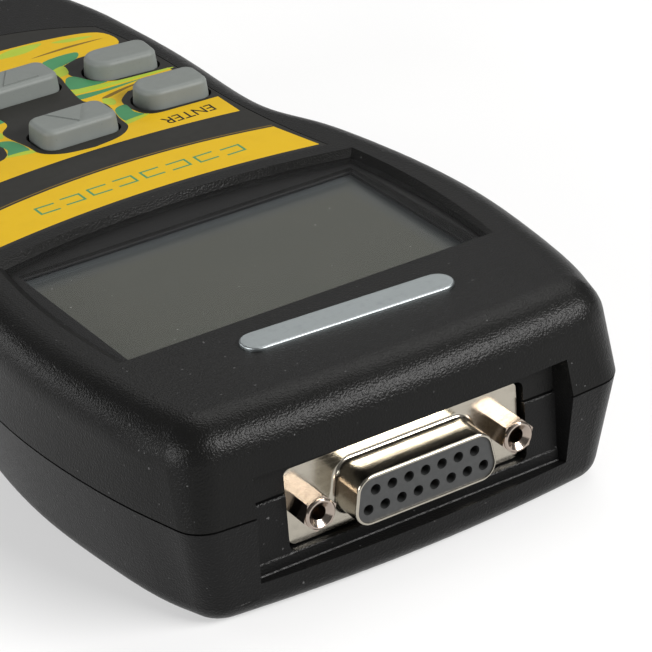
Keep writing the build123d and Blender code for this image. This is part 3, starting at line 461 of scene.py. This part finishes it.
def film_prints():
    """Printed areas of the film, right half and its mirror image."""
    band = arc((-28.6, 72.1), (0, 74.9), (28.6, 72.1)) + arc((26.5, 82.9), (0, 86.3), (-26.5, 82.9))
    hair = arc((-26.6, 83.4), (0, 86.8), (26.6, 83.4)) + arc((26.6, 83.65), (0, 87.05), (-26.6, 83.65))
    prints = [(band, YELLOW), (hair, GOLD_LINE)]
    prints += [(mark, GREEN) for mark in band_marks()]
    near = arc((-25.5, 92.0), (0, 94.2), (25.5, 92.0))
    enter_side = smooth(
        [(25.7, 99.6), (19.8, 99.9), (13.8, 100.6), (12.0, 104.0), (12.2, 108.6), (15.0, 111.6)],
        False,
    )
    menu_side = smooth(
        [(25.3, 116.0), (19.0, 116.1), (15.0, 117.4), (12.0, 120.8), (10.6, 124.4), (11.4, 128.6)],
        False,
    )
    far_side = smooth([(15.0, 130.2), (23.8, 131.2), (23.4, 138.4), (14.0, 141.6), (0.0, 142.6)], False)
    right = enter_side + [Vector((25.4, 112.6))] + menu_side + far_side
    yellow = near + right + mirrored(right)
    prints.append((yellow, YELLOW))
    accents = [
        (
            [(7.0, 118.2), (12.3, 117.5), (17.0, 116.7), (25.2, 115.9)]
            + [(25.2, 115.3), (18.0, 115.4), (7.0, 116.3)],
            LIME,
        ),
        ([(7.0, 115.7), (12.3, 115.1), (19.5, 114.9), (12.3, 113.9), (7.0, 113.8)], GREEN),
        ([(7.6, 118.9), (9.2, 123.2), (10.9, 123.4), (12.4, 120.0), (14.4, 117.7), (11.0, 117.8)], GREEN),
        ([(8.9, 100.8), (9.5, 106.0), (12.0, 107.0), (11.8, 103.4), (12.6, 101.2)], GREEN),
        ([(8.6, 99.6), (8.9, 101.0), (12.4, 101.4), (13.0, 100.8)], LIME),
        ([(8.6, 127.6), (9.6, 132.6), (16.0, 133.0), (15.2, 130.4), (11.4, 128.8)], GREEN),
        ([(8.4, 125.0), (8.8, 127.8), (11.6, 128.8), (10.8, 125.2)], LIME),
        ([(3.0, 139.4), (8.0, 141.6), (13.4, 140.6), (9.0, 138.4)], LIME),
        (
            [(10.6, 112.2), (16.0, 113.6), (25.0, 114.4)]
            + [(25.0, 114.0), (16.5, 113.0), (11.2, 111.4)],
            GOLD_LINE,
        ),
        ([(8.6, 135.4), (16.0, 136.2), (23.0, 135.4), (16.0, 135.4)], GOLD_LINE),
        ([(9.5, 109.8), (10.2, 111.6), (11.6, 110.6), (11.2, 108.6), (10.2, 108.2)], LIME),
        ([(14.8, 139.6), (19.0, 139.0), (22.0, 137.4), (17.4, 137.8)], LIME),
    ]
    for shape, colour in accents:
        curve = smooth(shape, steps=4)
        prints += [(curve, colour), (mirrored(curve), colour)]
    middle_right = smooth(
        [(0.0, 95.1), (5.1, 96.1), (8.1, 98.7), (8.6, 102.6), (9.6, 109.4)]
        + [(7.2, 112.9), (7.9, 119.5), (8.9, 125.2), (7.8, 129.6), (0.0, 131.0)],
        False,
        5,
    )
    middle = middle_right + mirrored(middle_right)[1:-1]
    prints.append((middle, BLACK))
    return prints


def keypad_film():
    outline, top = upper_edges("keypad_film")
    inks = [
        ink_finish("film_black", (0.015, 0.0145, 0.0125)),
        ink_finish("film_yellow", (0.53, 0.334, 0.005)),
        ink_finish("film_green", (0.05, 0.20, 0.085)),
        ink_finish("film_lime", (0.31, 0.40, 0.035)),
        ink_finish("film_gold", (0.16, 0.10, 0.012)),
    ]
    sheet = printed_sheet("film_printed", outline, top, FILM_SHEET, film_prints(), inks)
    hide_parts("keypad_film")


def caption(name, text, centre, width, depth, top):
    """Plain word printed on the film, read from the handle end."""
    curve = bpy.data.curves.new(name + "_curve", "FONT")
    curve.body = text
    curve.resolution_u = 3
    curve.extrude = 0.01
    holder = bpy.data.objects.new(name + "_curve", curve)
    bpy.context.scene.collection.objects.link(holder)
    mesh = bpy.data.meshes.new_from_object(holder.evaluated_get(bpy.context.evaluated_depsgraph_get()))
    bpy.data.objects.remove(holder)
    bpy.data.curves.remove(curve)
    low = [min(v.co[i] for v in mesh.vertices) for i in range(3)]
    high = [max(v.co[i] for v in mesh.vertices) for i in range(3)]
    for vertex in mesh.vertices:
        part = [(vertex.co[i] - low[i]) / (high[i] - low[i]) - 0.5 for i in range(3)]
        vertex.co = spot(centre[0] - part[0] * width, centre[1] - part[1] * depth, top + part[2] * 0.03)
    mesh.name = name
    mesh.materials.clear()
    link(name, mesh, PRINT_BLACK)


def window_border():
    """Black print on the back of the window, round the view of the display."""
    side = arc((28.4, 30.7), (47.0, 31.85), (66.1, 30.6))
    right = [Vector((p[1], p[0])) for p in side]
    outer = right + arc((30.6, 66.1), (0, 69.95), (-30.6, 66.1), 30) + mirrored(right)
    view = bar(0.4, (VIEW_NEAR + VIEW_FAR) / 2, VIEW_WIDTH, VIEW_FAR - VIEW_NEAR)
    outline = loop_edges(outer) + loop_edges(view)
    border = printed_sheet("window_border", outline, BORDER_TOP, BORDER_SHEET, [], [PRINT_BLACK])
    for vertex in border.data.vertices:
        vertex.co.z -= (vertex.co.y / MM - FACE_Y - WINDOW_NEAR) * math.tan(WINDOW_TILT) * MM


# ---------------------------------------------------------------- floor, light and camera
FOCUS = Vector((0.0, -0.02, 0.02))


def floor():
    mesh = bpy.data.meshes.new("floor")
    reach = 4.0
    corners = [(-reach, -reach, 0), (reach, -reach, 0), (reach, reach, 0), (-reach, reach, 0)]
    mesh.from_pydata(corners, [], [(0, 1, 2, 3)])
    thing = bpy.data.objects.new("floor", mesh)
    bpy.context.scene.collection.objects.link(thing)
    made = Finish("floor_white", (0.4, 0.4, 0.4), 0.8, Specular_IOR_Level=0.1)
    made.shader.inputs["Emission Color"].default_value = (1.0, 1.0, 1.0, 1.0)
    made.shader.inputs["Emission Strength"].default_value = 0.47
    made.tint(made.band(made.noise(60.0, 2.0), 0.4, 0.7, 0.0, 0.5), (0.385, 0.385, 0.39))
    mesh.materials.append(made.material)


def softbox(name, direction, distance, width, height, radiance, colour):
    """Rectangular light that faces the object from a direction."""
    data = bpy.data.lights.new(name, "AREA")
    data.shape = "RECTANGLE"
    data.size, data.size_y = width, height
    data.energy = radiance * math.pi * width * height
    data.color = colour
    thing = bpy.data.objects.new(name, data)
    bpy.context.scene.collection.objects.link(thing)
    away = Vector(direction).normalized()
    thing.location = FOCUS + away * distance
    thing.rotation_mode = "QUATERNION"
    thing.rotation_quaternion = (-away).to_track_quat("-Z", "Y")


def lights():
    softbox("overhead", (0.44, 0.29, 0.845), 1.3, 1.0, 0.6, 4.0, (1.0, 0.99, 0.97))
    softbox("front_right", (0.44, -0.72, 0.53), 1.0, 0.65, 0.27, 27.0, (1.0, 0.99, 0.98))
    softbox("back_wall", (0.44, 0.76, 0.47), 1.3, 1.3, 0.5, 0.5, (1.0, 1.0, 1.0))
    softbox("left_low", (-0.88, -0.08, 0.22), 0.9, 0.5, 0.3, 12.0, (1.0, 1.0, 1.0))
    softbox("back_left", (-0.574, 0.76, 0.29), 1.2, 0.7, 0.22, 6.0, (1.0, 1.0, 1.0))
    world = bpy.data.worlds.new("studio")
    world.use_nodes = True
    sky = world.node_tree.nodes["Background"]
    sky.inputs["Color"].default_value = (1.0, 1.0, 1.0, 1.0)
    sky.inputs["Strength"].default_value = 0.14
    bpy.context.scene.world = world
    bpy.context.scene.view_settings.view_transform = "Standard"


def camera():
    data = bpy.data.cameras.new("camera")
    data.sensor_width = 36.0
    data.lens = 158.775
    data.clip_start, data.clip_end = 0.01, 20.0
    thing = bpy.data.objects.new("camera", data)
    bpy.context.scene.collection.objects.link(thing)
    turn, rise, roll = math.radians(-29.987), math.radians(28.098), math.radians(-4.407)
    back = Vector((math.sin(turn) * math.cos(rise), -math.cos(turn) * math.cos(rise), math.sin(rise)))
    thing.location = Vector((-182.679, -377.667, 223.474)) * MM
    thing.rotation_mode = "QUATERNION"
    thing.rotation_quaternion = (-back).to_track_quat("-Z", "Y") @ Quaternion((0, 0, 1), roll)
    bpy.context.scene.camera = thing


keypad_film()
window_border()
caption("caption_enter", "ENTER", (18.2, 96.4), 9.4, 2.6, FILM_TOP)
floor()
lights()
camera()
